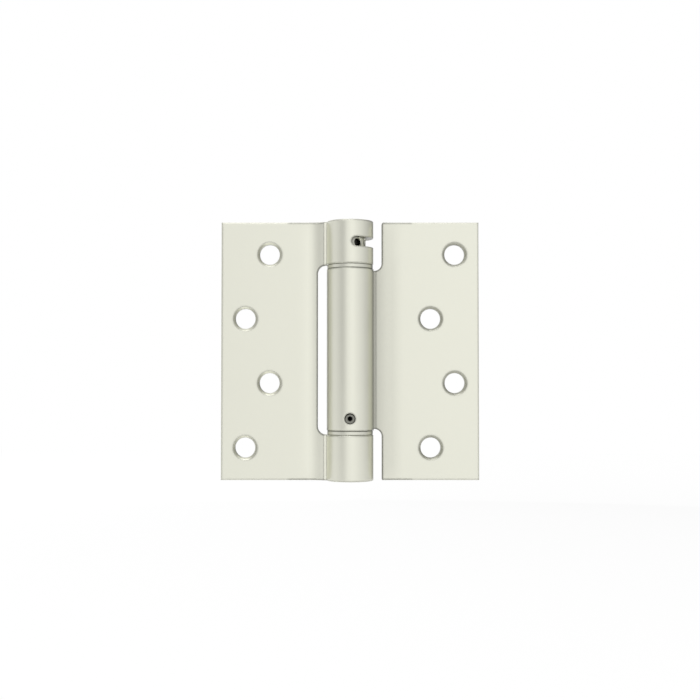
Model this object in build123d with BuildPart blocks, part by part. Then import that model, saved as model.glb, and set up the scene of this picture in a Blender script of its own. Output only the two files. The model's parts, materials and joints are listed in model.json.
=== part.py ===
from build123d import *
from math import asin, atan2, cos, degrees, hypot, radians, sin, sqrt
import os

# A spring hinge for a door, lying open flat. Millimetres, +Z up along the pin. The origin is on the
# pin's centre line at mid height. The countersunk faces of both leaves look toward -Y. The frame leaf
# lies toward -X and carries the top and bottom knuckles, the door leaf lies toward +X and carries
# the long centre barrel, which holds the spring.

# Leaves
leaf_height = 101.6
open_width = 101.6
gauge = 2.7
flat_setback = 1.5  # front face of the flats behind the plane through the pin's axis
neck_setback = 0.1  # front face of the sheet where it meets the barrel, behind the same plane
swage_run = 6.1  # width of the strip in which the sheet comes forward
neck_strip = 1.0  # flat strip between the crease of the swage and the bend
frame_notch_gap = 3.55  # barrel to the edge of the frame leaf's notch
frame_notch_corner = 3.2
door_notch_gap = 3.35  # knuckle to the edge of the door leaf's notches
door_notch_corner = 3.1
door_top_corner = 1.0
door_bottom_corner = 0.5
tab_relief = 0.6  # the tab of the door leaf ends this far short of its barrel
edge_round = 0.4

# Knuckles
barrel_radius = 9.15
bend_radius = 0.8  # inside radius of the bend from the neck into the roll
seam_gap = 0.3  # end of the roll to the front face of its own sheet
top_knuckle_length = 17.1
bottom_knuckle_length = 17.9
ring_space = 1.65  # from knuckle to barrel
knuckle_edge_break = 0.25  # at the ends of the knuckles and the barrel

# Screw holes of the leaves
screw_hole_radius = 3.95
countersink_radius = 4.9
countersink_angle = 82
holes_per_leaf = 4
end_inset = 12.7  # first hole from the leaf's end
outer_inset = 9.5  # outer holes from the leaf's outer edge
inner_inset = 19.05  # inner holes from the leaf's outer edge

# Adjusting slot and collar
slot_drop = 8.55  # middle of the slot below the top of the knuckle
slot_height = 3.7
slot_reach = 86.4  # degrees to each side of the direction away from the frame leaf
slot_edge_round = 0.2  # also of the hole of the set screw
waist_depth = 0.25
waist_margin = 0.7  # waist above and below the slot
upper_land = 2.9
lower_land = 2.0
adjust_hole_count = 8
adjust_hole_radius = 1.3
adjust_hole_rim = 1.95
adjust_hole_depth = 2.6
first_hole_angle = -58.4
cross_pin_radius = 1.0
cross_pin_bore = 0.5
cross_pin_slit = 0.35

# Pin
pin_radius = 2.5
stem_radius = 1.9
pin_chamfer = 0.4

# Bushings, rings and washers
bush_engagement = 6.0
ring_inset = 0.2  # rings are this much smaller in radius than the barrel
ring_chamfer = 0.15
washer_thickness = 0.6
cap_chamfer = 0.4
bottom_cap_floor = 2.4
bottom_cap_space = 1.0  # lower bushing to bottom cap

# Spring and its seats
wire_width = 2.0
coil_room = 0.6  # from the coil to the bore of the barrel
coil_space = 0.15  # least space between turns
driver_length = 6.0
spigot_length = 5.0
tang_length = 3.0
set_screw_height = 4.8  # above the lower end of the barrel
front_angle = -90  # the set screw looks straight to the front
set_screw_radius = 2.07
set_screw_recess = 0.5
socket_width = 2.0  # across the flats
socket_depth = 1.6
seat_depth = 1.3  # drilled seat of the set screw in the anchor
anchor_margin = 2.3  # anchor above the set screw
anchor_foot = 0.5  # anchor below the set screw

# Fits
press_gap = 0.02
running_gap = 0.05
slide_gap = 0.15
loose_gap = 0.3
face_gap = 0.05
cut_margin = 1.0  # cuts run this far past a surface

# Heights along the pin
leaf_top = leaf_height / 2
leaf_bottom = -leaf_top
top_knuckle_foot = leaf_top - top_knuckle_length
bottom_knuckle_head = leaf_bottom + bottom_knuckle_length
barrel_head = top_knuckle_foot - ring_space
barrel_foot = bottom_knuckle_head + ring_space
slot_height_z = leaf_top - slot_drop
waist_head = slot_height_z + slot_height / 2 + waist_margin
waist_foot = slot_height_z - slot_height / 2 - waist_margin
collar_head = waist_head + upper_land
collar_foot = waist_foot - lower_land
upper_bush_head = collar_foot - washer_thickness - 2 * face_gap
upper_bush_foot = barrel_head - bush_engagement
driver_head = upper_bush_foot - washer_thickness - 2 * face_gap
driver_foot = driver_head - driver_length
set_screw_z = barrel_foot + set_screw_height
anchor_head = set_screw_z + set_screw_radius + anchor_margin
anchor_foot_z = set_screw_z - set_screw_radius - anchor_foot
lower_bush_head = anchor_foot_z - 2 * face_gap
lower_bush_foot = bottom_knuckle_head - bush_engagement
bottom_cap_head = lower_bush_foot - bottom_cap_space
pocket_floor = leaf_bottom + bottom_cap_floor

# Radii about the pin
bore_radius = barrel_radius - gauge
pressed_radius = bore_radius - press_gap
running_radius = bore_radius - running_gap
loose_radius = bore_radius - loose_gap
waist_radius = running_radius - waist_depth
ring_radius = barrel_radius - ring_inset
coil_radius = bore_radius - coil_room - wire_width / 2  # middle of the wire
spigot_radius = coil_radius - wire_width / 2 - loose_gap

# Outline of the bend from the sheet into the roll, both of one thickness
leaf_reach = open_width / 2
bend_y = neck_setback + gauge + bend_radius
bend_distance = barrel_radius + bend_radius
bend_x = sqrt(bend_distance**2 - bend_y**2)
bend_angle = degrees(atan2(bend_y, bend_x))
crease_x = bend_x + neck_strip
swage_x = crease_x + swage_run
frame_notch_x = barrel_radius + frame_notch_gap
door_notch_x = barrel_radius + door_notch_gap


def sheet_section(low_z):
    """The sheet of the frame leaf in plan, from its outer edge to the start of the bend."""
    with BuildSketch(Plane.XY.offset(low_z)) as section:
        with BuildLine():
            Line((-leaf_reach, flat_setback + gauge), (-leaf_reach, flat_setback))
            Line((-leaf_reach, flat_setback), (-swage_x, flat_setback))
            TangentArc((-swage_x, flat_setback), (-crease_x, neck_setback), tangent=(1, 0))
            Line((-crease_x, neck_setback), (-bend_x, neck_setback))
            Line((-bend_x, neck_setback), (-bend_x, neck_setback + gauge))
            Line((-bend_x, neck_setback + gauge), (-crease_x, neck_setback + gauge))
            TangentArc(
                (-swage_x, flat_setback + gauge),
                (-crease_x, neck_setback + gauge),
                tangent=(1, 0),
            )
            Line((-swage_x, flat_setback + gauge), (-leaf_reach, flat_setback + gauge))
        make_face()
    return section


def roll_section(low_z):
    """The rolled knuckle of the frame leaf in plan, from the bend round to the seam."""
    end_y = neck_setback - seam_gap
    inner_end = degrees(asin(-end_y / bore_radius)) - 180
    outer_end = degrees(asin(-end_y / barrel_radius)) - 180
    bend_start = 180 - bend_angle
    with BuildSketch(Plane.XY.offset(low_z)) as section:
        with BuildLine():
            Line((-bend_x, neck_setback + gauge), (-bend_x, neck_setback))
            CenterArc((-bend_x, bend_y), bend_radius + gauge, -90, 90 - bend_angle)
            CenterArc((0, 0), bore_radius, bend_start, inner_end - bend_start)
            Line(
                (-sqrt(bore_radius**2 - end_y**2), end_y),
                (-sqrt(barrel_radius**2 - end_y**2), end_y),
            )
            CenterArc((0, 0), barrel_radius, bend_start, outer_end - bend_start)
            CenterArc((-bend_x, bend_y), bend_radius, -90, 90 - bend_angle)
        make_face()
    return section


def on_barrel(edge):
    """Whether the middle of an edge lies on the outside of the rolled knuckles."""
    middle = edge @ 0.5
    return abs(hypot(middle.X, middle.Y) - barrel_radius) < face_gap


def barrel_edges(leaf, low_z, high_z):
    """The curved edges on the outside of the knuckles of a leaf, between two heights."""
    curved = leaf.edges().filter_by(GeomType.LINE, reverse=True)
    return curved.filter_by(on_barrel).filter_by_position(Axis.Z, low_z, high_z)


def rolled_knuckle(low_z, high_z):
    """A knuckle of the frame leaf, rolled about the pin, with the edges of its ends broken."""
    with BuildPart() as knuckle:
        extrude(roll_section(low_z).sketch, amount=high_z - low_z)
        chamfer(barrel_edges(knuckle, low_z, high_z), knuckle_edge_break)
    return knuckle


def half_outline(*points):
    """Half of a turned piece, from its radius and height at each corner."""
    with BuildSketch(Plane.XZ) as outline:
        with BuildLine():
            Polyline(*points, close=True)
        make_face()
    return outline


def radial_plane(angle, radius, height):
    """A plane that looks straight out from the pin's axis."""
    out = (cos(radians(angle)), sin(radians(angle)), 0)
    return Plane(origin=(radius * out[0], radius * out[1], height), z_dir=out)


def screw_hole_places(side, outer_first):
    """The plane of the countersinks and their places, from the top hole down."""
    pitch = (leaf_height - 2 * end_inset) / (holes_per_leaf - 1)
    insets = (outer_inset, inner_inset) if outer_first else (inner_inset, outer_inset)
    return [
        (side * (leaf_reach - insets[row % 2]), leaf_top - end_inset - row * pitch)
        for row in range(holes_per_leaf)
    ]


def double_flat(radius, half_width, low_z):
    """A round with two flats, as on the driving length of the pin."""
    with BuildSketch(Plane.XY.offset(low_z)) as outline:
        Circle(radius)
        Rectangle(2 * radius, 2 * half_width, mode=Mode.INTERSECT)
    return outline


# Frame leaf: the sheet, its notch for the centre barrel, and the two rolled knuckles
with BuildPart() as frame_leaf:
    extrude(sheet_section(leaf_bottom).sketch, amount=leaf_height)
    frame_front = frame_leaf.edges().filter_by_position(Axis.Y, flat_setback, flat_setback)
    fillet(frame_front.sort_by(Axis.X)[:1] + frame_front.filter_by(Axis.X), edge_round)
    with BuildSketch(Plane.XZ) as frame_blank:
        with BuildLine():
            Polyline(
                (-leaf_reach, leaf_bottom),
                (0, leaf_bottom),
                (0, bottom_knuckle_head),
                (-frame_notch_x, bottom_knuckle_head),
                (-frame_notch_x, top_knuckle_foot),
                (0, top_knuckle_foot),
                (0, leaf_top),
                (-leaf_reach, leaf_top),
                close=True,
            )
        make_face()
        notch_corners = frame_blank.vertices().group_by(Axis.X)[1]
        fillet(notch_corners, frame_notch_corner)
    extrude(amount=barrel_radius, both=True, mode=Mode.INTERSECT)
    with Locations(Plane.XZ.offset(-flat_setback)):
        with Locations(*screw_hole_places(-1, outer_first=False)):
            CounterSinkHole(screw_hole_radius, countersink_radius, gauge * 2, countersink_angle)
    add(rolled_knuckle(leaf_bottom, bottom_knuckle_head).part)
    add(rolled_knuckle(top_knuckle_foot, leaf_top).part)
    slot_end = slot_reach - degrees(asin(slot_height / 2 / barrel_radius))
    with BuildSketch(Plane.XZ.rotated((0, 0, -slot_end))) as slot_cut:
        with Locations((barrel_radius, slot_height_z)):
            Rectangle(2 * gauge + cut_margin, slot_height)
    revolve(axis=Axis.Z, revolution_arc=2 * slot_end, mode=Mode.SUBTRACT)
    for angle in (-slot_end, slot_end):
        with BuildSketch(radial_plane(angle, 0, slot_height_z)) as slot_round:
            Circle(slot_height / 2)
        extrude(amount=barrel_radius + cut_margin, mode=Mode.SUBTRACT)
    fillet(barrel_edges(frame_leaf, waist_foot, waist_head), slot_edge_round)

# Door leaf: the sheet with a tab, the centre barrel rolled on it, and the hole of the set screw
with BuildPart() as door_leaf:
    door_sheet = mirror(sheet_section(leaf_bottom).sketch, about=Plane.YZ, mode=Mode.PRIVATE)
    extrude(door_sheet, amount=leaf_height)
    door_front = door_leaf.edges().filter_by_position(Axis.Y, flat_setback, flat_setback)
    fillet(door_front.sort_by(Axis.X)[-1:] + door_front.filter_by(Axis.X), edge_round)
    with BuildSketch(Plane.XZ) as door_blank:
        with BuildLine():
            Polyline(
                (0, barrel_foot + tab_relief),
                (door_notch_x, barrel_foot + tab_relief),
                (door_notch_x, leaf_bottom),
                (leaf_reach, leaf_bottom),
                (leaf_reach, leaf_top),
                (door_notch_x, leaf_top),
                (door_notch_x, barrel_head - tab_relief),
                (0, barrel_head - tab_relief),
                close=True,
            )
        make_face()
        notch_edge = door_blank.vertices().group_by(Axis.X)[1].sort_by(Axis.Y)
        fillet(notch_edge[1:3], door_notch_corner)
        fillet(door_blank.vertices().group_by(Axis.Y)[0].sort_by(Axis.X)[0], door_bottom_corner)
        fillet(door_blank.vertices().group_by(Axis.Y)[-1].sort_by(Axis.X)[0], door_top_corner)
    extrude(amount=barrel_radius, both=True, mode=Mode.INTERSECT)
    with Locations(Plane.XZ.offset(-flat_setback)):
        with Locations(*screw_hole_places(1, outer_first=True)):
            CounterSinkHole(screw_hole_radius, countersink_radius, gauge * 2, countersink_angle)
    mirror(rolled_knuckle(barrel_foot, barrel_head).part, about=Plane.YZ)
    with BuildSketch(radial_plane(front_angle, 0, set_screw_z)) as screw_cut:
        Circle(set_screw_radius + press_gap)
    extrude(amount=barrel_radius + cut_margin, mode=Mode.SUBTRACT)
    fillet(barrel_edges(door_leaf, anchor_foot_z, anchor_head), slot_edge_round)

# Tension collar: two lands that run in the knuckle, and a waist with the ring of adjusting holes
with BuildPart() as tension_collar:
    collar_bore = pin_radius + press_gap
    collar_outline = half_outline(
        (collar_bore, collar_foot),
        (running_radius - pin_chamfer, collar_foot),
        (running_radius, collar_foot + pin_chamfer),
        (running_radius, waist_foot - waist_depth),
        (waist_radius, waist_foot),
        (waist_radius, waist_head),
        (running_radius, waist_head + waist_depth),
        (running_radius, collar_head - pin_chamfer),
        (running_radius - pin_chamfer, collar_head),
        (collar_bore, collar_head),
    )
    revolve(collar_outline.sketch, axis=Axis.Z)
    for hole in range(adjust_hole_count):
        hole_angle = first_hole_angle + hole * 360 / adjust_hole_count
        with Locations(radial_plane(hole_angle, waist_radius, slot_height_z)):
            CounterSinkHole(adjust_hole_radius, adjust_hole_rim, adjust_hole_depth, 90)
    cross_pin_z = (waist_head + waist_depth + collar_head) / 2
    with BuildSketch(radial_plane(0, 0, cross_pin_z)) as collar_cross:
        Circle(cross_pin_radius + press_gap)
    extrude(amount=barrel_radius, both=True, mode=Mode.SUBTRACT)

# Cross pin: a slotted spring pin that keys the collar to the pivot pin
with BuildPart() as collar_cross_pin:
    cross_pin_reach = running_radius - loose_gap
    with BuildSketch(radial_plane(0, -cross_pin_reach, cross_pin_z)) as cross_round:
        Circle(cross_pin_radius)
        Circle(cross_pin_bore, mode=Mode.SUBTRACT)
        with Locations((0, cross_pin_radius)):
            Rectangle(cross_pin_slit, 2 * (cross_pin_radius - cross_pin_bore / 2), mode=Mode.SUBTRACT)
    extrude(amount=2 * cross_pin_reach)

# Pivot pin: full size in the collar and upper bushing, flats in the driver, thin stem below
with BuildPart() as pivot_pin:
    pin_foot = pocket_floor + face_gap
    pin_outline = half_outline(
        (0, pin_foot),
        (stem_radius - pin_chamfer, pin_foot),
        (stem_radius, pin_foot + pin_chamfer),
        (stem_radius, driver_foot),
        (pin_radius, driver_foot),
        (pin_radius, collar_head - pin_chamfer),
        (pin_radius - pin_chamfer, collar_head),
        (0, collar_head),
    )
    revolve(pin_outline.sketch, axis=Axis.Z)
    with BuildSketch(Plane.XY.offset(driver_foot)) as flats_cut:
        Circle(pin_radius + cut_margin)
        Rectangle(2 * (pin_radius + cut_margin), 2 * stem_radius, mode=Mode.SUBTRACT)
    extrude(amount=driver_head - driver_foot, mode=Mode.SUBTRACT)
    with BuildSketch(radial_plane(0, 0, cross_pin_z)) as pin_cross:
        Circle(cross_pin_radius + press_gap)
    extrude(amount=barrel_radius, both=True, mode=Mode.SUBTRACT)

# Upper bushing: pressed into the barrel, with a spigot that runs in the top knuckle
with BuildPart() as upper_bushing:
    upper_bush_outline = half_outline(
        (pin_radius + running_gap, upper_bush_foot),
        (pressed_radius, upper_bush_foot),
        (pressed_radius, barrel_head),
        (running_radius, barrel_head),
        (running_radius, upper_bush_head),
        (pin_radius + running_gap, upper_bush_head),
    )
    revolve(upper_bush_outline.sketch, axis=Axis.Z)

# Lower bushing: pressed into the barrel, with a spigot that runs in the bottom knuckle
with BuildPart() as lower_bushing:
    lower_bush_outline = half_outline(
        (stem_radius + running_gap, lower_bush_foot),
        (running_radius, lower_bush_foot),
        (running_radius, barrel_foot),
        (pressed_radius, barrel_foot),
        (pressed_radius, lower_bush_head),
        (stem_radius + running_gap, lower_bush_head),
    )
    revolve(lower_bush_outline.sketch, axis=Axis.Z)


def bearing_ring_outline(low_z):
    """Half of a bearing ring with its edges broken, in the space that starts at low_z."""
    low = low_z + face_gap
    high = low_z + ring_space - face_gap
    inner = bore_radius + press_gap
    return half_outline(
        (inner, low),
        (ring_radius - ring_chamfer, low),
        (ring_radius, low + ring_chamfer),
        (ring_radius, high - ring_chamfer),
        (ring_radius - ring_chamfer, high),
        (inner, high),
    )


# Bearing rings: they carry the door's weight between the knuckles and the barrel
with BuildPart() as upper_bearing_ring:
    revolve(bearing_ring_outline(barrel_head).sketch, axis=Axis.Z)

with BuildPart() as lower_bearing_ring:
    revolve(bearing_ring_outline(bottom_knuckle_head).sketch, axis=Axis.Z)

# Thrust washers of the collar and of the spring driver
with BuildPart() as collar_washer:
    with BuildSketch(Plane.XY.offset(upper_bush_head + face_gap)) as collar_washer_ring:
        Circle(loose_radius)
        Circle(pin_radius + slide_gap, mode=Mode.SUBTRACT)
    extrude(amount=washer_thickness)

with BuildPart() as driver_washer:
    with BuildSketch(Plane.XY.offset(driver_head + face_gap)) as driver_washer_ring:
        Circle(loose_radius)
        Circle(pin_radius + slide_gap, mode=Mode.SUBTRACT)
    extrude(amount=washer_thickness)

# Torsion spring: square wire, wound left-handed, with a straight tang at each end
with BuildPart() as torsion_spring:
    coil_low = anchor_head + face_gap + wire_width / 2
    coil_high = driver_foot - face_gap - wire_width / 2
    coil_height = coil_high - coil_low
    turns = max(1, int(coil_height / (wire_width + coil_space)))
    with BuildLine() as coil_path:
        Helix(coil_height / turns, coil_height, coil_radius, (0, 0, coil_low), lefthand=True)
    wire_plane = Plane(origin=coil_path.line @ 0, x_dir=(1, 0, 0), z_dir=coil_path.line % 0)
    with BuildSketch(wire_plane) as wire_section:
        Rectangle(wire_width, wire_width)
    sweep(path=coil_path.line, is_frenet=True)
    for tang_foot in (anchor_head - tang_length, coil_high):
        with BuildSketch(Plane.XY.offset(tang_foot)) as tang_section:
            with Locations((coil_radius, 0)):
                Rectangle(wire_width, wire_width)
        extrude(amount=coil_low - anchor_head + tang_length)

# Spring driver: seat of the upper tang, turned by the flats of the pin
with BuildPart() as spring_driver:
    driver_outline = half_outline(
        (0, driver_foot - spigot_length),
        (spigot_radius, driver_foot - spigot_length),
        (spigot_radius, driver_foot),
        (loose_radius, driver_foot),
        (loose_radius, driver_head),
        (0, driver_head),
    )
    revolve(driver_outline.sketch, axis=Axis.Z)
    flats = double_flat(pin_radius + running_gap, stem_radius + running_gap, driver_foot)
    extrude(flats.sketch, amount=driver_length, mode=Mode.SUBTRACT)
    with BuildSketch(Plane.XY.offset(driver_foot - spigot_length)) as stem_cut:
        Circle(stem_radius + running_gap)
    extrude(amount=spigot_length, mode=Mode.SUBTRACT)
    with BuildSketch(Plane.XY.offset(driver_foot)) as driver_slot:
        with Locations((coil_radius, 0)):
            Rectangle(wire_width + 2 * slide_gap, wire_width + 2 * slide_gap)
    extrude(amount=tang_length + slide_gap, mode=Mode.SUBTRACT)

# Spring anchor: seat of the lower tang, held in the barrel by the set screw
with BuildPart() as spring_anchor:
    anchor_outline = half_outline(
        (stem_radius + running_gap, anchor_foot_z),
        (pressed_radius, anchor_foot_z),
        (pressed_radius, anchor_head),
        (spigot_radius, anchor_head),
        (spigot_radius, anchor_head + spigot_length),
        (stem_radius + running_gap, anchor_head + spigot_length),
    )
    revolve(anchor_outline.sketch, axis=Axis.Z)
    with BuildSketch(Plane.XY.offset(anchor_head)) as anchor_slot:
        with Locations((coil_radius, 0)):
            Rectangle(wire_width + 2 * slide_gap, wire_width + 2 * slide_gap)
    extrude(amount=-tang_length - slide_gap, mode=Mode.SUBTRACT)
    with BuildSketch(radial_plane(front_angle, pressed_radius - seat_depth, set_screw_z)) as seat_cut:
        Circle(set_screw_radius + press_gap)
    extrude(amount=seat_depth + cut_margin, mode=Mode.SUBTRACT)

# Set screw: a grub screw with a hexagon socket, run in below the surface of the barrel
with BuildPart() as anchor_set_screw:
    screw_tip = pressed_radius - seat_depth + face_gap
    screw_head = barrel_radius - set_screw_recess
    with BuildSketch(radial_plane(front_angle, screw_tip, set_screw_z)) as screw_round:
        Circle(set_screw_radius)
    extrude(amount=screw_head - screw_tip)
    with BuildSketch(radial_plane(front_angle, screw_head, set_screw_z)) as socket:
        RegularPolygon(socket_width / 2, 6, major_radius=False)
    extrude(amount=-socket_depth, mode=Mode.SUBTRACT)

# Caps: the plain plug of the top knuckle, and the plug that holds the pin's foot
with BuildPart() as top_cap:
    top_cap_outline = half_outline(
        (0, collar_head + loose_gap),
        (pressed_radius, collar_head + loose_gap),
        (pressed_radius, leaf_top - cap_chamfer),
        (pressed_radius - cap_chamfer, leaf_top),
        (0, leaf_top),
    )
    revolve(top_cap_outline.sketch, axis=Axis.Z)

with BuildPart() as bottom_cap:
    bottom_cap_outline = half_outline(
        (0, leaf_bottom),
        (pressed_radius - cap_chamfer, leaf_bottom),
        (pressed_radius, leaf_bottom + cap_chamfer),
        (pressed_radius, bottom_cap_head),
        (stem_radius + running_gap, bottom_cap_head),
        (stem_radius + running_gap, pocket_floor),
        (0, pocket_floor),
    )
    revolve(bottom_cap_outline.sketch, axis=Axis.Z)

os.makedirs("parts", exist_ok=True)

frame_leaf.part.label = "frame_leaf"
export_step(frame_leaf.part, "parts/frame_leaf.step")

door_leaf.part.label = "door_leaf"
export_step(door_leaf.part, "parts/door_leaf.step")

tension_collar.part.label = "tension_collar"
export_step(tension_collar.part, "parts/tension_collar.step")

collar_cross_pin.part.label = "collar_cross_pin"
export_step(collar_cross_pin.part, "parts/collar_cross_pin.step")

pivot_pin.part.label = "pivot_pin"
export_step(pivot_pin.part, "parts/pivot_pin.step")

upper_bushing.part.label = "upper_bushing"
export_step(upper_bushing.part, "parts/upper_bushing.step")

lower_bushing.part.label = "lower_bushing"
export_step(lower_bushing.part, "parts/lower_bushing.step")

upper_bearing_ring.part.label = "upper_bearing_ring"
export_step(upper_bearing_ring.part, "parts/upper_bearing_ring.step")

lower_bearing_ring.part.label = "lower_bearing_ring"
export_step(lower_bearing_ring.part, "parts/lower_bearing_ring.step")

collar_washer.part.label = "collar_washer"
export_step(collar_washer.part, "parts/collar_washer.step")

driver_washer.part.label = "driver_washer"
export_step(driver_washer.part, "parts/driver_washer.step")

torsion_spring.part.label = "torsion_spring"
export_step(torsion_spring.part, "parts/torsion_spring.step")

spring_driver.part.label = "spring_driver"
export_step(spring_driver.part, "parts/spring_driver.step")

spring_anchor.part.label = "spring_anchor"
export_step(spring_anchor.part, "parts/spring_anchor.step")

anchor_set_screw.part.label = "anchor_set_screw"
export_step(anchor_set_screw.part, "parts/anchor_set_screw.step")

top_cap.part.label = "top_cap"
export_step(top_cap.part, "parts/top_cap.step")

bottom_cap.part.label = "bottom_cap"
export_step(bottom_cap.part, "parts/bottom_cap.step")
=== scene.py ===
"""Dresses the spring hinge: the finish of every part, the threads of the set screw, stage and light."""

import json
import logging
import math
from dataclasses import dataclass, field
from enum import Enum

import bpy
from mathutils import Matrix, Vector

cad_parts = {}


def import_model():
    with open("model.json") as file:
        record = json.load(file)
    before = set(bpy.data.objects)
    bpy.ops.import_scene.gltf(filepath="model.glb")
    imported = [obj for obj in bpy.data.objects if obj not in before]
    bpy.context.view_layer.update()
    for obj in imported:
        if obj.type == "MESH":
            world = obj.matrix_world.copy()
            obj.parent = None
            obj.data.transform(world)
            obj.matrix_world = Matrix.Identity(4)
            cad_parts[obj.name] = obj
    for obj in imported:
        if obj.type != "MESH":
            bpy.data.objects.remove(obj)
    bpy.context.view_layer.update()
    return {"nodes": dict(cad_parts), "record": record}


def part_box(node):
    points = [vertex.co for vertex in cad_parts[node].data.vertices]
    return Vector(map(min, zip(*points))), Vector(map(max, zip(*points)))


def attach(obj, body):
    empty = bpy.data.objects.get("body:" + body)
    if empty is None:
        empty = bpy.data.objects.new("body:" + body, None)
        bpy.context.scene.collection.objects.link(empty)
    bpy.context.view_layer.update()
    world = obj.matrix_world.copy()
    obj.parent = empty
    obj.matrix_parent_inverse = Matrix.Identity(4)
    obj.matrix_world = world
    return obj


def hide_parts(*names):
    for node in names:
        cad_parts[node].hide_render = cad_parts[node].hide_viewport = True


LOG = logging.getLogger("spring_hinge")

MM = 0.001
IMAGE_SIDE = 700
WHITE = (1.0, 1.0, 1.0, 1.0)


class Side(Enum):
    """The three groups of parts that move together."""

    FRAME = "frame_side"
    DOOR = "door_side"
    TENSION = "tension_drive"


class Marks(Enum):
    """The marks that making leaves on a surface."""

    ROLLED = "rolled"
    TURNED = "turned"
    DRAWN = "drawn"
    MOULDED = "moulded"


# How fine the marks are along X, Y and Z. They run the way of the small number.
MARK_SCALES = {
    Marks.ROLLED: (900.0, 900.0, 25.0),
    Marks.TURNED: (40.0, 40.0, 9000.0),
    Marks.DRAWN: (4000.0, 4000.0, 60.0),
    Marks.MOULDED: (1500.0, 1500.0, 1500.0),
}


def deselect_all() -> None:
    """Leaves nothing selected, in object mode."""
    if bpy.context.object is not None and bpy.context.object.mode != "OBJECT":
        bpy.ops.object.mode_set(mode="OBJECT")
    bpy.ops.object.select_all(action="DESELECT")


def make_active(piece: bpy.types.Object) -> None:
    """Selects one object alone and makes it the active one.

    Args:
        piece: The object that the next operators act on.
    """
    deselect_all()
    piece.select_set(True)
    bpy.context.view_layer.objects.active = piece


def select_faces(piece: bpy.types.Object, normal: Vector, least: float = 0.99) -> None:
    """Selects the faces that look one way, and leaves the piece in edit mode.

    Args:
        piece: The mesh object.
        normal: The way that the wanted faces look.
        least: The least cosine between a face's normal and that way.
    """
    make_active(piece)
    bpy.ops.object.mode_set(mode="EDIT")
    bpy.ops.mesh.select_mode(type="FACE")
    bpy.ops.mesh.select_all(action="DESELECT")
    bpy.ops.object.mode_set(mode="OBJECT")
    for face in piece.data.polygons:
        face.select = face.normal.dot(normal) > least
    bpy.ops.object.mode_set(mode="EDIT")


def apply_modifier(piece: bpy.types.Object, kind: str, **settings: object) -> None:
    """Adds a modifier to a piece and applies it.

    Args:
        piece: The mesh object.
        kind: The modifier's type.
        **settings: The modifier's properties.
    """
    make_active(piece)
    modifier = piece.modifiers.new(kind.title(), kind)
    for name, value in settings.items():
        setattr(modifier, name, value)
    bpy.ops.object.modifier_apply(modifier=modifier.name)


def settle(piece: bpy.types.Object) -> None:
    """Puts a piece's place into its mesh, so that its object lies at the origin, unturned."""
    make_active(piece)
    bpy.ops.object.transform_apply(location=True, rotation=True, scale=True)


class NodeSheet:
    """A thin hand for building a node tree, from left to right."""

    def __init__(self, tree: bpy.types.NodeTree) -> None:
        """Takes the tree that the nodes go into.

        Args:
            tree: A material's, a world's or a group's node tree.
        """
        self.tree = tree
        self.column = 0

    def add(self, kind: str, inputs: dict | None = None, **settings: object) -> bpy.types.Node:
        """Adds a node, sets it and links it.

        Args:
            kind: The node's type, such as ShaderNodeMath.
            inputs: Socket name or number to a value, or to the socket that feeds it.
            **settings: The node's properties.

        Returns:
            The new node.
        """
        node = self.tree.nodes.new(kind)
        node.location = (self.column * 180, 0)
        self.column += 1
        for name, value in settings.items():
            setattr(node, name, value)
        for name, value in (inputs or {}).items():
            if isinstance(value, bpy.types.NodeSocket):
                self.tree.links.new(value, node.inputs[name])
            else:
                node.inputs[name].default_value = value
        return node

    def math(self, operation: str, *values: object) -> bpy.types.NodeSocket:
        """Adds a Math node.

        Args:
            operation: The node's operation, such as MULTIPLY.
            *values: Numbers or sockets, in the order of the node's inputs.

        Returns:
            The node's output.
        """
        node = self.add("ShaderNodeMath", dict(enumerate(values)), operation=operation)
        return node.outputs[0]

    def mask(self, value: object, ends: tuple) -> bpy.types.NodeSocket:
        """Adds a clamped Map Range node that gives 0 to 1.

        Args:
            value: The number or socket to map.
            ends: What becomes 0 and what becomes 1, each a number or a socket.

        Returns:
            The node's output.
        """
        return self.add("ShaderNodeMapRange", {0: value, 1: ends[0], 2: ends[1]}).outputs[0]

    def product(self, first: bpy.types.NodeSocket, *others: object) -> bpy.types.NodeSocket:
        """Multiplies numbers or sockets, one after the other.

        Args:
            first: The first factor.
            *others: The other factors.

        Returns:
            The last node's output.
        """
        total = first
        for factor in others:
            total = self.math("MULTIPLY", total, factor)
        return total

    def scaled(self, vector: object, factor: object) -> bpy.types.NodeSocket:
        """Adds a Vector Math node that multiplies.

        Args:
            vector: The vector or colour.
            factor: A number, a vector or a socket to multiply it by.

        Returns:
            The node's output.
        """
        return self.add(
            "ShaderNodeVectorMath", {0: vector, 1: factor}, operation="MULTIPLY"
        ).outputs[0]

    def height_of(self, vector: bpy.types.NodeSocket) -> bpy.types.NodeSocket:
        """Gives the Z part of a vector."""
        return self.add("ShaderNodeSeparateXYZ", {0: vector}).outputs["Z"]

    def aside(self, vector: bpy.types.NodeSocket) -> bpy.types.NodeSocket:
        """Gives the X part of a vector, without its sign."""
        return self.math("ABSOLUTE", self.add("ShaderNodeSeparateXYZ", {0: vector}).outputs["X"])

    def less(self, loss: object, depth: object = 1.0) -> bpy.types.NodeSocket:
        """Gives what is left of 1 after a loss.

        Args:
            loss: The mask of the loss, a number or a socket.
            depth: The share that the full mask takes away.

        Returns:
            The node's output.
        """
        return self.math("SUBTRACT", 1.0, self.math("MULTIPLY", loss, depth))


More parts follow.
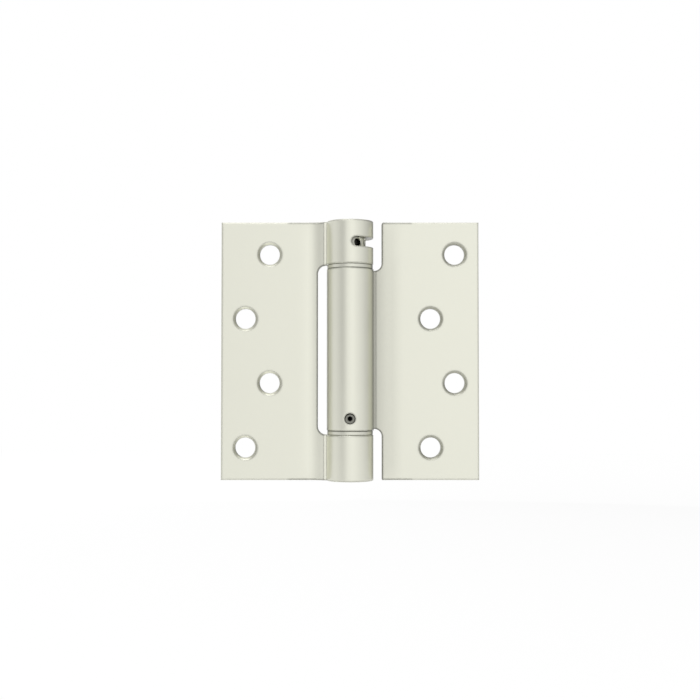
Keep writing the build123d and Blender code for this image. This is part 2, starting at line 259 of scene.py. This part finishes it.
@dataclass(frozen=True)
class ShadeLimits:
    """Where each painted shade and the painted light of the finishes begin and where each is full."""

    # How far the softened normal still agrees with the surface's own.
    sharp_edge: tuple[float, float] = (0.985, 0.93)
    wide_edge: tuple[float, float] = (0.9985, 0.975)
    # How much the softened normal rises or falls, for the painted shade on level edges.
    level_edge: tuple[float, float] = (0.28, 0.5)
    # The height of a normal that looks down, for the painted shade on undersides.
    underside: tuple[float, float] = (-0.9, -0.97)
    underside_gain: float = 1.4
    # The distance from the middle of the hinge, for the painted shade on the cut edges beside the
    # barrel.
    past_barrel: tuple[float, float] = (9.7 * MM, 10.3 * MM)
    before_holes: tuple[float, float] = (25 * MM, 24 * MM)
    # The share of open sky where painted light stands for light gathered from the neighbours.
    glow: tuple[float, float] = (0.97, 0.8)
    # The countersunk seats, and how far their walls face left or right, for their painted shade.
    seat_radius: float = 4.9 * MM
    seat_rim: tuple[float, float] = (0.0, 0.05 * MM)
    seat_aside: tuple[float, float] = (0.2, 0.6)
    edge_samples: int = 6
    sky_samples: int = 16


class EffectGroups:
    """The node groups that the finishes share, each built once."""

    def __init__(self, seats: list[Vector]) -> None:
        """Builds every group.

        Args:
            seats: A point on the axis of each screw hole.
        """
        self.limits = ShadeLimits()
        self.plating = self._plating()
        self.painted_edge_shade = self._painted_edge_shade()
        self.screw_seats = self._screw_seats(seats)
        self.tool_marks = self._tool_marks()

    @staticmethod
    def _start(
        name: str, ins: list[tuple], outs: list[tuple]
    ) -> tuple[bpy.types.NodeTree, NodeSheet, bpy.types.Node, bpy.types.Node]:
        """Starts a group with its sockets.

        Args:
            name: The group's name.
            ins: For each input its name, socket type and default value, or None.
            outs: For each output its name and socket type.

        Returns:
            The tree, its sheet, the group's input node and its output node.
        """
        tree = bpy.data.node_groups.new(name, "ShaderNodeTree")
        for label, kind, value in ins:
            socket = tree.interface.new_socket(name=label, in_out="INPUT", socket_type=kind)
            if value is not None:
                socket.default_value = value
        for label, kind in outs:
            tree.interface.new_socket(name=label, in_out="OUTPUT", socket_type=kind)
        sheet = NodeSheet(tree)
        source = sheet.add("NodeGroupInput")
        return tree, sheet, source, tree.nodes.new("NodeGroupOutput")

    def _plating(self) -> bpy.types.NodeTree:
        """The soft mottle and the fine grain of a satin plated surface.

        Returns:
            A group that takes a colour and a roughness, and gives both with small changes over
            the surface, and the height of the grain.
        """
        tree, sheet, source, sink = self._start(
            "plating_grain",
            [
                ("Vector", "NodeSocketVector", None),
                ("Color", "NodeSocketColor", WHITE),
                ("Mottle", "NodeSocketFloat", 0.03),
                ("Roughness", "NodeSocketFloat", 0.3),
                ("Roughness Spread", "NodeSocketFloat", 0.04),
                ("Cloud Scale", "NodeSocketFloat", 90.0),
                ("Grain Scale", "NodeSocketFloat", 6000.0),
            ],
            [
                ("Color", "NodeSocketColor"),
                ("Roughness", "NodeSocketFloat"),
                ("Height", "NodeSocketFloat"),
            ],
        )
        value = source.outputs
        cloud = sheet.add(
            "ShaderNodeTexNoise",
            {"Vector": value["Vector"], "Scale": value["Cloud Scale"], "Detail": 3.0},
        )
        grain = sheet.add(
            "ShaderNodeTexNoise",
            {"Vector": value["Vector"], "Scale": value["Grain Scale"], "Detail": 2.0},
        )
        mottle = sheet.math("SUBTRACT", cloud.outputs[0], 0.5)
        speck = sheet.math("SUBTRACT", grain.outputs[0], 0.5)
        spread = sheet.math("ADD", mottle, speck)
        shade = sheet.math("MULTIPLY_ADD", spread, value["Mottle"], 1.0)
        rough = sheet.math("MULTIPLY_ADD", spread, value["Roughness Spread"], value["Roughness"])
        tree.links.new(sheet.scaled(value["Color"], shade), sink.inputs["Color"])
        tree.links.new(rough, sink.inputs["Roughness"])
        tree.links.new(grain.outputs[0], sink.inputs["Height"])
        return tree

    def _painted_edge_shade(self) -> bpy.types.NodeTree:
        """The shade painted along sharp edges, beside the barrel, on level edges, on undersides and in
        hollows, and the light painted into shallow hollows.

        Returns:
            A group that takes a colour, paints shade into it at its edges and hollows and light into
            its shallow hollows, and gives the normal of the softened edges.
        """
        limits = self.limits
        tree, sheet, source, sink = self._start(
            "painted_edge_shade",
            [
                ("Vector", "NodeSocketVector", None),
                ("Color", "NodeSocketColor", WHITE),
                ("Edge Reach", "NodeSocketFloat", 0.5 * MM),
                ("Edge Depth", "NodeSocketFloat", 0.5),
                ("Gap Depth", "NodeSocketFloat", 0.0),
                ("Level Depth", "NodeSocketFloat", 0.0),
                ("Hollow Reach", "NodeSocketFloat", 12 * MM),
                ("Hollow Start", "NodeSocketFloat", 1.0),
                ("Hollow Full", "NodeSocketFloat", 0.0),
                ("Hollow Depth", "NodeSocketFloat", 0.5),
                ("Hollow Glow", "NodeSocketFloat", 0.0),
            ],
            [("Color", "NodeSocketColor"), ("Normal", "NodeSocketVector")],
        )
        value = source.outputs
        soft = sheet.add(
            "ShaderNodeBevel", {"Radius": value["Edge Reach"]}, samples=limits.edge_samples
        ).outputs[0]
        flat = sheet.add("ShaderNodeNewGeometry").outputs["Normal"]
        likeness = sheet.add(
            "ShaderNodeVectorMath", {0: soft, 1: flat}, operation="DOT_PRODUCT"
        ).outputs["Value"]
        open_sky = sheet.add(
            "ShaderNodeAmbientOcclusion",
            {"Distance": value["Hollow Reach"]},
            samples=limits.sky_samples,
        ).outputs["AO"]
        across = sheet.aside(value["Vector"])
        beside_barrel = sheet.product(
            sheet.mask(likeness, limits.wide_edge),
            sheet.mask(across, limits.past_barrel),
            sheet.mask(across, limits.before_holes),
        )
        hollow = sheet.mask(open_sky, (value["Hollow Start"], value["Hollow Full"]))
        glow = sheet.mask(open_sky, limits.glow)
        # Painted shade on sharp edges, on the cut edges beside the barrel, on level edges and
        # undersides and in hollows, and painted light in shallow hollows.
        keep = sheet.product(
            sheet.less(sheet.mask(likeness, limits.sharp_edge), value["Edge Depth"]),
            sheet.less(beside_barrel, value["Gap Depth"]),
            sheet.less(self._level_lines(sheet, soft, flat), value["Level Depth"]),
            sheet.less(hollow, value["Hollow Depth"]),
            sheet.math("MULTIPLY_ADD", glow, value["Hollow Glow"], 1.0),
        )
        tree.links.new(sheet.scaled(value["Color"], keep), sink.inputs["Color"])
        tree.links.new(soft, sink.inputs["Normal"])
        return tree

    def _level_lines(
        self, sheet: NodeSheet, soft: bpy.types.NodeSocket, flat: bpy.types.NodeSocket
    ) -> bpy.types.NodeSocket:
        """Finds the level edges and the undersides, where shade is painted so that they look darker
        than the rest.

        Args:
            sheet: The group's sheet.
            soft: The normal of the softened edges.
            flat: The surface's own normal.

        Returns:
            The mask of both, over 1 on the undersides.
        """
        flat_rise = sheet.height_of(flat)
        turned = sheet.math("SUBTRACT", sheet.height_of(soft), flat_rise)
        edge = sheet.mask(sheet.math("ABSOLUTE", turned), self.limits.level_edge)
        underside = sheet.product(
            sheet.mask(flat_rise, self.limits.underside), self.limits.underside_gain
        )
        return sheet.math("MAXIMUM", edge, underside)

    def _screw_seats(self, seats: list[Vector]) -> bpy.types.NodeTree:
        """The painted shade on the countersunk seats of the screw holes.

        Args:
            seats: A point on the axis of each hole.

        Returns:
            A group that takes Object coordinates and gives the mask of the painted shade, 1 in the
            seats where their walls face left or right.
        """
        limits = self.limits
        tree, sheet, source, sink = self._start(
            "screw_seats",
            [("Vector", "NodeSocketVector", None)],
            [("Mask", "NodeSocketFloat")],
        )
        place = sheet.scaled(source.outputs["Vector"], (1, 0, 1))
        reach = limits.seat_radius
        for seat in seats:
            away = sheet.add(
                "ShaderNodeVectorMath", {0: place, 1: (seat.x, 0, seat.z)}, operation="DISTANCE"
            ).outputs["Value"]
            reach = sheet.math("MINIMUM", reach, away)
        inside = sheet.mask(sheet.math("SUBTRACT", limits.seat_radius, reach), limits.seat_rim)
        own_normal = sheet.add("ShaderNodeTexCoord").outputs["Normal"]
        facing_aside = sheet.mask(sheet.aside(own_normal), limits.seat_aside)
        tree.links.new(sheet.product(inside, facing_aside), sink.inputs["Mask"])
        return tree

    def _tool_marks(self) -> bpy.types.NodeTree:
        """Fine lines across one direction, as turning, drawing or rolling leaves them.

        Returns:
            A group that takes a vector scaled along its lines, and gives a height.
        """
        tree, sheet, source, sink = self._start(
            "tool_marks",
            [
                ("Vector", "NodeSocketVector", None),
                ("Scale", "NodeSocketFloat", 1.0),
                ("Detail", "NodeSocketFloat", 3.0),
                ("Roughness", "NodeSocketFloat", 0.65),
            ],
            [("Height", "NodeSocketFloat")],
        )
        names = ("Vector", "Scale", "Detail", "Roughness")
        lines = sheet.add("ShaderNodeTexNoise", {name: source.outputs[name] for name in names})
        tree.links.new(lines.outputs[0], sink.inputs["Height"])
        return tree


@dataclass(frozen=True)
class Finish:
    """One finish of the hinge, from its colour and its marks, with shade painted along its edges and in
    its hollows.
    """

    name: str
    slot: str
    colour: tuple[float, float, float]
    roughness: float
    marks: Marks
    metallic: float = 1.0
    mottle: float = 0.03
    spread: float = 0.05
    grain: float = 5000.0
    grain_depth: float = 0.05
    line_depth: float = 0.1
    bump_height: float = 0.02 * MM
    edge_reach: float = 0.5 * MM
    # How much shade is painted along edges, beside the barrel, on level edges and undersides, in the
    # screw seats and in hollows, and how much light is painted into shallow hollows.
    edge_depth: float = 0.5
    gap_depth: float = 0.0
    level_depth: float = 0.0
    seat_shade: float = 0.0
    hollow_reach: float = 12 * MM
    hollow_start: float = 1.0
    hollow_full: float = 0.7
    hollow_depth: float = 0.5
    hollow_glow: float = 0.0

    def material(self, groups: EffectGroups) -> bpy.types.Material:
        """Builds the finish as a material.

        Args:
            groups: The shared node groups.

        Returns:
            A material whose Principled BSDF reads the groups.
        """
        material = bpy.data.materials.new(f"{self.name}_finish")
        material.use_nodes = True
        material.node_tree.nodes.clear()
        sheet = NodeSheet(material.node_tree)
        place = sheet.add("ShaderNodeTexCoord").outputs["Object"]
        shaded, softened = self._shaded_colour(sheet, place, groups)
        plating = sheet.add(
            "ShaderNodeGroup",
            {
                "Vector": place,
                "Color": shaded,
                "Mottle": self.mottle,
                "Roughness": self.roughness,
                "Roughness Spread": self.spread,
                "Grain Scale": self.grain,
            },
            node_tree=groups.plating,
        )
        stretched = sheet.add("ShaderNodeMapping", {"Vector": place, "Scale": MARK_SCALES[self.marks]})
        lines = sheet.add("ShaderNodeGroup", {0: stretched.outputs[0]}, node_tree=groups.tool_marks)
        normal = self._bump(sheet, self.grain_depth, plating.outputs["Height"], softened)
        normal = self._bump(sheet, self.line_depth, lines.outputs["Height"], normal)
        surface = sheet.add(
            "ShaderNodeBsdfPrincipled",
            {
                "Base Color": plating.outputs["Color"],
                "Roughness": plating.outputs["Roughness"],
                "Metallic": self.metallic,
                "Normal": normal,
            },
        )
        output = sheet.add("ShaderNodeOutputMaterial")
        sheet.tree.links.new(surface.outputs[0], output.inputs["Surface"])
        return material

    def _shaded_colour(
        self, sheet: NodeSheet, place: bpy.types.NodeSocket, groups: EffectGroups
    ) -> tuple[bpy.types.NodeSocket, bpy.types.NodeSocket]:
        """Paints shade into the colour along edges, in hollows and in the screw seats, and light into
        shallow hollows.

        Args:
            sheet: The material's sheet.
            place: The Object coordinates.
            groups: The shared node groups.

        Returns:
            The colour, and the normal of the softened edges.
        """
        shade_node = sheet.add(
            "ShaderNodeGroup",
            {
                "Vector": place,
                "Color": (*self.colour, 1),
                "Edge Reach": self.edge_reach,
                "Edge Depth": self.edge_depth,
                "Gap Depth": self.gap_depth,
                "Level Depth": self.level_depth,
                "Hollow Reach": self.hollow_reach,
                "Hollow Start": self.hollow_start,
                "Hollow Full": self.hollow_full,
                "Hollow Depth": self.hollow_depth,
                "Hollow Glow": self.hollow_glow,
            },
            node_tree=groups.painted_edge_shade,
        )
        shaded = shade_node.outputs["Color"]
        # Painted shade on the walls of the countersunk seats that face left or right.
        if self.seat_shade > 0:
            seats = sheet.add("ShaderNodeGroup", {"Vector": place}, node_tree=groups.screw_seats)
            shaded = sheet.scaled(shaded, sheet.less(seats.outputs["Mask"], self.seat_shade))
        return shaded, shade_node.outputs["Normal"]

    def _bump(
        self,
        sheet: NodeSheet,
        strength: float,
        height: bpy.types.NodeSocket,
        normal: bpy.types.NodeSocket,
    ) -> bpy.types.NodeSocket:
        """Adds a Bump node over another normal.

        Args:
            sheet: The material's sheet.
            strength: The bump's strength.
            height: The pattern's height.
            normal: The normal under it.

        Returns:
            The node's output.
        """
        node = sheet.add(
            "ShaderNodeBump",
            {
                "Strength": strength,
                "Distance": self.bump_height,
                "Height": height,
                "Normal": normal,
            },
        )
        return node.outputs[0]


# Painted shade in deep holes: the colour goes almost black where little open sky is left within 4 mm.
DEEP_HOLE_SHADE = {
    "hollow_reach": 4 * MM, "hollow_start": 0.5, "hollow_full": 0.25, "hollow_depth": 0.97,
}
# Painted shade along the sheet's sharp edges, its cut edges beside the barrel, its level edges and its
# undersides, with a wider softened edge and fainter tool marks.
SHEET_EDGE_SHADE = {
    "edge_reach": 1.2 * MM, "edge_depth": 0.3, "gap_depth": 0.6, "level_depth": 0.42,
    "line_depth": 0.04,
}
SATIN = (0.79, 0.79, 0.69)

# Both leaves lie in one slot. In the picture the hollows of the frame leaf are pale and those of the
# door leaf are dark, so each leaf has its own material: the frame leaf gets painted light and a little
# painted shade in its hollows, the door leaf deeper painted shade there.
FINISHES = (
    Finish(
        "frame_plate", "satin_plate", SATIN, 0.3, Marks.ROLLED,
        hollow_start=0.72, hollow_full=0.55, hollow_depth=0.2, hollow_glow=0.17,
        seat_shade=0.3, **SHEET_EDGE_SHADE,
    ),
    Finish("door_plate", "satin_plate", SATIN, 0.3, Marks.ROLLED, **SHEET_EDGE_SHADE),
    Finish("ring_plate", "ring_plate", (0.74, 0.74, 0.65), 0.28, Marks.TURNED, edge_depth=0.4),
    Finish("collar_steel", "collar_steel", (0.66, 0.66, 0.58), 0.3, Marks.TURNED, **DEEP_HOLE_SHADE),
    Finish(
        "black_screw", "black_screw", (0.25, 0.25, 0.22), 0.42, Marks.TURNED,
        edge_depth=0.2, **DEEP_HOLE_SHADE,
    ),
    Finish("pin_steel", "pin_steel", (0.55, 0.55, 0.54), 0.22, Marks.TURNED, **DEEP_HOLE_SHADE),
    Finish("spring_steel", "spring_steel", (0.3, 0.3, 0.31), 0.35, Marks.DRAWN),
    Finish("bush_bronze", "bush_bronze", (0.55, 0.4, 0.22), 0.4, Marks.TURNED),
    Finish(
        "washer_acetal", "washer_acetal", (0.86, 0.85, 0.8), 0.45, Marks.MOULDED, metallic=0.0
    ),
)


class FinishRack:
    """Every finish as a material, ready to hang on a piece."""

    def __init__(self, groups: EffectGroups) -> None:
        """Builds the materials.

        Args:
            groups: The shared node groups.
        """
        self.materials = {finish.name: finish.material(groups) for finish in FINISHES}
        self.slots = {finish.name: finish.slot for finish in FINISHES}

    def dress(self, piece: bpy.types.Object, name: str) -> None:
        """Gives a piece its finish.

        Args:
            piece: The mesh object.
            name: The finish's name.
        """
        if piece.material_slots:
            for place in piece.material_slots:
                place.link = "DATA"
                place.material = self.materials[name]
        else:
            piece.data.materials.append(self.materials[name])


@dataclass
class SetScrew:
    """The grub screw near the lower end of the barrel, with its thread and its socket."""

    thread_pitch: float = 0.7 * MM
    thread_depth: float = 0.38 * MM
    crest_share: float = 0.125
    edge_break: float = 0.2 * MM
    socket_flats: float = 1.8 * MM
    socket_depth: float = 1.5 * MM
    socket_cone: float = 0.45 * MM
    cup_radius: float = 0.9 * MM
    cup_depth: float = 0.35 * MM
    socket_land: float = 0.216 * MM
    socket_point: float = 0.1
    spare_turns: int = 3
    sides_round: int = 48
    trim_sides: int = 96
    trim_slack: float = 1.001
    cup_sides: int = 32
    weld_reach: float = 0.001 * MM
    bevel_angle: float = math.radians(60)
    smooth_angle: float = math.radians(25)

    def build(self, rack: FinishRack) -> bpy.types.Object:
        """Models the screw along Y where the plain one lies.

        Args:
            rack: The finishes.

        Returns:
            The finished screw.
        """
        low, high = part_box("anchor_set_screw")
        length = high.y - low.y
        radius = (high.x - low.x) / 2
        screw = self._threaded_rod(radius, length)
        self._trim_ends(screw, radius, length)
        self._cut_socket(screw, length)
        self._cut_cup(screw, length)
        screw.name = "set_screw_threaded"
        screw.rotation_euler = (math.pi / 2, 0, 0)
        screw.location = (low + high) / 2
        settle(screw)
        make_active(screw)
        bpy.ops.object.shade_smooth_by_angle(angle=self.smooth_angle)
        rack.dress(screw, "black_screw")
        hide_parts("anchor_set_screw")
        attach(screw, Side.DOOR.value)
        return screw

    def _threaded_rod(self, radius: float, length: float) -> bpy.types.Object:
        """Winds one pitch of the thread's outline up the axis, longer than the screw.

        Args:
            radius: The thread's outer radius.
            length: The screw's length.

        Returns:
            A closed rod along Z.
        """
        turns = math.ceil(length / self.thread_pitch) + self.spare_turns
        foot = -turns * self.thread_pitch / 2
        root = radius - self.thread_depth
        crest = self.thread_pitch * self.crest_share
        steps = (0, crest, self.thread_pitch / 2, self.thread_pitch / 2 + crest, self.thread_pitch)
        reaches = (root, root, radius, radius, root)
        outline = bpy.data.meshes.new("thread_outline")
        outline.from_pydata(
            [(reach, 0, foot + step) for reach, step in zip(reaches, steps)],
            [(corner, corner + 1) for corner in range(len(steps) - 1)],
            [],
        )
        rod = bpy.data.objects.new("thread_rod", outline)
        bpy.context.collection.objects.link(rod)
        apply_modifier(
            rod,
            "SCREW",
            axis="Z",
            angle=2 * math.pi,
            screw_offset=self.thread_pitch,
            iterations=turns,
            steps=self.sides_round,
            render_steps=self.sides_round,
        )
        make_active(rod)
        bpy.ops.object.mode_set(mode="EDIT")
        bpy.ops.mesh.select_mode(type="EDGE")
        bpy.ops.mesh.select_all(action="SELECT")
        bpy.ops.mesh.remove_doubles(threshold=self.weld_reach)
        bpy.ops.mesh.select_all(action="DESELECT")
        bpy.ops.mesh.select_non_manifold()
        bpy.ops.mesh.edge_face_add()
        bpy.ops.mesh.select_all(action="SELECT")
        bpy.ops.mesh.normals_make_consistent(inside=False)
        bpy.ops.object.mode_set(mode="OBJECT")
        return rod

    def _trim_ends(self, screw: bpy.types.Object, radius: float, length: float) -> None:
        """Cuts the rod to its length, with the edges of both ends broken.

        Args:
            screw: The rod.
            radius: Its outer radius.
            length: Its length.
        """
        deselect_all()
        bpy.ops.mesh.primitive_cylinder_add(
            vertices=self.trim_sides, radius=radius * self.trim_slack, depth=length
        )
        trim = bpy.context.object
        apply_modifier(
            trim,
            "BEVEL",
            width=self.edge_break,
            segments=1,
            limit_method="ANGLE",
            angle_limit=self.bevel_angle,
        )
        self._combine(screw, trim, "INTERSECT")

    def _cut_socket(self, screw: bpy.types.Object, length: float) -> None:
        """Cuts the hexagon socket with its drilled bottom into the upper end.

        Args:
            screw: The rod.
            length: Its length.
        """
        deselect_all()
        reach = self.socket_depth + self.edge_break
        bpy.ops.mesh.primitive_cylinder_add(
            vertices=6,
            radius=self.socket_flats / math.sqrt(3),
            depth=reach,
            location=(0, 0, length / 2 - self.socket_depth + reach / 2),
        )
        cutter = bpy.context.object
        select_faces(cutter, Vector((0, 0, -1)))
        bpy.ops.mesh.inset(thickness=self.socket_land)
        bpy.ops.mesh.extrude_region_move(
            TRANSFORM_OT_translate={"value": (0, 0, -self.socket_cone)}
        )
        bpy.ops.transform.resize(value=(self.socket_point, self.socket_point, 1))
        bpy.ops.object.mode_set(mode="OBJECT")
        self._combine(screw, cutter, "DIFFERENCE")

    def _cut_cup(self, screw: bpy.types.Object, length: float) -> None:
        """Hollows the lower end to the cup that bites into the anchor.

        Args:
            screw: The rod.
            length: Its length.
        """
        deselect_all()
        reach = 2 * self.cup_depth
        bpy.ops.mesh.primitive_cone_add(
            vertices=self.cup_sides,
            radius1=2 * self.cup_radius,
            radius2=0,
            depth=reach,
            location=(0, 0, -length / 2),
        )
        self._combine(screw, bpy.context.object, "DIFFERENCE")

    @staticmethod
    def _combine(screw: bpy.types.Object, tool: bpy.types.Object, operation: str) -> None:
        """Combines a closed form with the screw.

        Args:
            screw: What is kept.
            tool: What cuts it, which is deleted.
            operation: DIFFERENCE or INTERSECT.
        """
        apply_modifier(screw, "BOOLEAN", object=tool, operation=operation, solver="EXACT")
        bpy.data.objects.remove(tool)


@dataclass
class MovingGroup:
    """Parts of the hinge that move together."""

    side: Side
    parts: dict[str, str]

    def dress(self, nodes: dict[str, bpy.types.Object], rack: FinishRack) -> None:
        """Finishes the parts of this group.

        Args:
            nodes: The hinge's parts by name.
            rack: The finishes.
        """
        for name, finish in self.parts.items():
            rack.dress(nodes[name], finish)
            LOG.info("%s of %s in %s", name, self.side.value, finish)


@dataclass
class FrameSide(MovingGroup):
    """The frame leaf with its two knuckles and the plugs that close them."""

    side: Side = Side.FRAME
    parts: dict[str, str] = field(
        default_factory=lambda: {
            "frame_leaf": "frame_plate",
            "top_cap": "frame_plate",
            "bottom_cap": "frame_plate",
        }
    )


@dataclass
class DoorSide(MovingGroup):
    """The door leaf with its barrel and all that the barrel carries."""

    side: Side = Side.DOOR
    parts: dict[str, str] = field(
        default_factory=lambda: {
            "door_leaf": "door_plate",
            "upper_bushing": "bush_bronze",
            "lower_bushing": "bush_bronze",
            "upper_bearing_ring": "ring_plate",
            "lower_bearing_ring": "ring_plate",
            "spring_anchor": "pin_steel",
            "torsion_spring": "spring_steel",
            "anchor_set_screw": "black_screw",
        }
    )
    set_screw: SetScrew = field(default_factory=SetScrew)

    def dress(self, nodes: dict[str, bpy.types.Object], rack: FinishRack) -> None:
        """Finishes the parts of this side and makes the threaded set screw.

        Args:
            nodes: The hinge's parts by name.
            rack: The finishes.
        """
        super().dress(nodes, rack)
        screw = self.set_screw.build(rack)
        LOG.info("%s with %d faces", screw.name, len(screw.data.polygons))


@dataclass
class TensionDrive(MovingGroup):
    """The collar, the pin and what turns with them."""

    side: Side = Side.TENSION
    parts: dict[str, str] = field(
        default_factory=lambda: {
            "tension_collar": "collar_steel",
            "collar_cross_pin": "spring_steel",
            "pivot_pin": "pin_steel",
            "spring_driver": "pin_steel",
            "collar_washer": "washer_acetal",
            "driver_washer": "washer_acetal",
        }
    )


@dataclass(frozen=True)
class LightTent:
    """A round tent of pale cloth that lights the hinge softly, dimmer where a metal shows shade."""

    radius: float = 1.6
    height: float = 3.6
    sides: int = 128
    # Where a new stop of the ramp lies until it gets its own place.
    spare_stop: float = 0.5
    # Degrees round the hinge from its front, and how bright the cloth is there.
    levels: tuple[tuple[float, float], ...] = (
        (-180, 0.75),
        (-156, 0.98),
        (-130, 0.92),
        (-108, 0.84),
        (-78, 0.86),
        (-56, 0.74),
        (-38, 0.58),
        (-25, 0.72),
        (-12, 1.02),
        (0, 1.05),
        (14, 1.12),
        (30, 1.00),
        (54, 0.87),
        (92, 0.65),
        (115, 0.48),
        (154, 0.32),
        (180, 0.55),
    )

    def build(self) -> bpy.types.Object:
        """Puts the tent round the hinge. Only reflected and scattered light sees it.

        Returns:
            The tent's wall.
        """
        deselect_all()
        bpy.ops.mesh.primitive_cylinder_add(
            vertices=self.sides, radius=self.radius, depth=self.height, end_fill_type="NOTHING"
        )
        wall = bpy.context.object
        wall.name = "light_tent"
        wall.data.materials.append(self._glow())
        wall.visible_camera = False
        wall.visible_shadow = False
        return wall

    def _glow(self) -> bpy.types.Material:
        """Makes the tent's glow, from the levels round the hinge.

        Returns:
            A material that gives light.
        """
        material = bpy.data.materials.new("tent_glow")
        material.use_nodes = True
        material.node_tree.nodes.clear()
        sheet = NodeSheet(material.node_tree)
        place = sheet.add("ShaderNodeTexCoord").outputs["Object"]
        parts = sheet.add("ShaderNodeSeparateXYZ", {0: place})
        away = sheet.math("MULTIPLY", parts.outputs["Y"], -1.0)
        angle = sheet.math("ARCTAN2", parts.outputs["X"], away)
        share = sheet.mask(angle, (-math.pi, math.pi))
        ramp = sheet.add("ShaderNodeValToRGB", {0: share})
        ramp.color_ramp.interpolation = "EASE"
        stops = ramp.color_ramp.elements
        peak = max(level for _, level in self.levels)
        while len(stops) < len(self.levels):
            stops.new(self.spare_stop)
        for stop, (azimuth, level) in zip(stops, self.levels):
            stop.position = (azimuth + 180) / 360
            stop.color = (*[level / peak] * 3, 1)
        glow = sheet.add("ShaderNodeEmission", {"Color": ramp.outputs[0], "Strength": peak})
        output = sheet.add("ShaderNodeOutputMaterial")
        sheet.tree.links.new(glow.outputs[0], output.inputs["Surface"])
        return material


@dataclass(frozen=True)
class Studio:
    """The plain white room of the picture: floor, sky, lamp and camera."""

    camera_distance: float = 0.45
    camera_elevation: float = -1.7
    camera_aim: float = 0.3 * MM
    pixels_per_metre: float = 2545.0
    floor_height: float = -0.22
    floor_size: float = 6.0
    floor_white: float = 1.04
    floor_share: float = 0.85
    floor_paint: tuple[float, float, float, float] = (0.9, 0.9, 0.9, 1.0)
    sky_shown: float = 1.0
    sky_light: float = 0.85
    lamp_place: tuple[float, float, float] = (-0.2, -0.5, 1.1)
    lamp_size: float = 0.9
    lamp_power: float = 3.0
    camera_clip: float = 0.01

    def build(self) -> None:
        """Sets the stage, the sky, the lamp and the camera."""
        self._floor()
        self._sky()
        self._lamp()
        self._camera()
        LightTent().build()
        bpy.context.scene.view_settings.view_transform = "Standard"

    @staticmethod
    def _shown_plain(sheet: NodeSheet) -> bpy.types.NodeSocket:
        """Finds the rays that see the room plain white.

        Args:
            sheet: The sheet of a material or the world.

        Returns:
            1 for rays from the camera, from a gloss and through glass, and 0 for others.
        """
        path = sheet.add("ShaderNodeLightPath")
        shown = sheet.math("MAXIMUM", path.outputs["Is Camera Ray"], path.outputs["Is Glossy Ray"])
        return sheet.math("MAXIMUM", shown, path.outputs["Is Transmission Ray"])

    def _floor(self) -> None:
        """Lays the pale floor under the hinge, out of the picture's frame."""
        deselect_all()
        bpy.ops.mesh.primitive_plane_add(size=self.floor_size, location=(0, 0, self.floor_height))
        floor = bpy.context.object
        floor.name = "pale_floor"
        material = bpy.data.materials.new("pale_floor_paint")
        material.use_nodes = True
        material.node_tree.nodes.clear()
        sheet = NodeSheet(material.node_tree)
        matt = sheet.add("ShaderNodeBsdfDiffuse", {"Color": self.floor_paint})
        white = sheet.add("ShaderNodeEmission", {"Strength": self.floor_white})
        share = sheet.math("MULTIPLY", self._shown_plain(sheet), self.floor_share)
        mixed = sheet.add("ShaderNodeMixShader", {0: share, 1: matt.outputs[0], 2: white.outputs[0]})
        output = sheet.add("ShaderNodeOutputMaterial")
        sheet.tree.links.new(mixed.outputs[0], output.inputs["Surface"])
        floor.data.materials.append(material)

    def _sky(self) -> None:
        """Makes the world white where it is seen, and plain soft light elsewhere."""
        world = bpy.data.worlds.new("white_room")
        world.use_nodes = True
        world.node_tree.nodes.clear()
        sheet = NodeSheet(world.node_tree)
        seen = sheet.add("ShaderNodeBackground", {"Color": WHITE, "Strength": self.sky_shown})
        soft = sheet.add("ShaderNodeBackground", {"Color": WHITE, "Strength": self.sky_light})
        mixed = sheet.add(
            "ShaderNodeMixShader",
            {0: self._shown_plain(sheet), 1: soft.outputs[0], 2: seen.outputs[0]},
        )
        output = sheet.add("ShaderNodeOutputWorld")
        sheet.tree.links.new(mixed.outputs[0], output.inputs["Surface"])
        bpy.context.scene.world = world

    def _lamp(self) -> None:
        """Hangs one wide lamp over the hinge, a little to the front."""
        deselect_all()
        bpy.ops.object.light_add(type="AREA", location=self.lamp_place)
        lamp = bpy.context.object
        lamp.data.shape = "SQUARE"
        lamp.data.size = self.lamp_size
        lamp.data.energy = self.lamp_power
        lamp.rotation_mode = "QUATERNION"
        lamp.rotation_quaternion = (-lamp.location).to_track_quat("-Z", "Y")

    def _camera(self) -> None:
        """Places the camera in front of the hinge, a little under its middle."""
        deselect_all()
        tilt = math.radians(self.camera_elevation)
        place = Vector((0, -math.cos(tilt), math.sin(tilt))) * self.camera_distance
        bpy.ops.object.camera_add(location=place + Vector((0, 0, self.camera_aim)))
        camera = bpy.context.object
        camera.rotation_mode = "QUATERNION"
        camera.rotation_quaternion = (-place).to_track_quat("-Z", "Y")
        frame_width = IMAGE_SIDE / self.pixels_per_metre
        camera.data.lens = camera.data.sensor_width * self.camera_distance / frame_width
        camera.data.clip_start = self.camera_clip
        bpy.context.scene.camera = camera


def screw_seats(mounts: list[dict]) -> list[Vector]:
    """Works out where the screw holes lie, from the patterns that the hinge is screwed on by.

    Args:
        mounts: The record's mounts.

    Returns:
        A point on the axis of each hole.
    """
    seats = []
    for mount in mounts:
        if mount["kind"] == "bolt_pattern":
            half = mount["dims"]["spacing_y_mm"] * MM / 2
            middle = Vector(mount["pos_m"])
            seats += [middle + Vector((0, 0, rise)) for rise in (-half, half)]
    return seats


def main() -> None:
    """Builds the dressed hinge and its stage, in order."""
    logging.basicConfig(level=logging.INFO, format="%(name)s: %(message)s")
    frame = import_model()
    Studio().build()
    seats = screw_seats(frame["record"]["mounts"])
    rack = FinishRack(EffectGroups(seats))
    for side in (FrameSide(), DoorSide(), TensionDrive()):
        side.dress(frame["nodes"], rack)


if __name__ == "__main__":
    main()
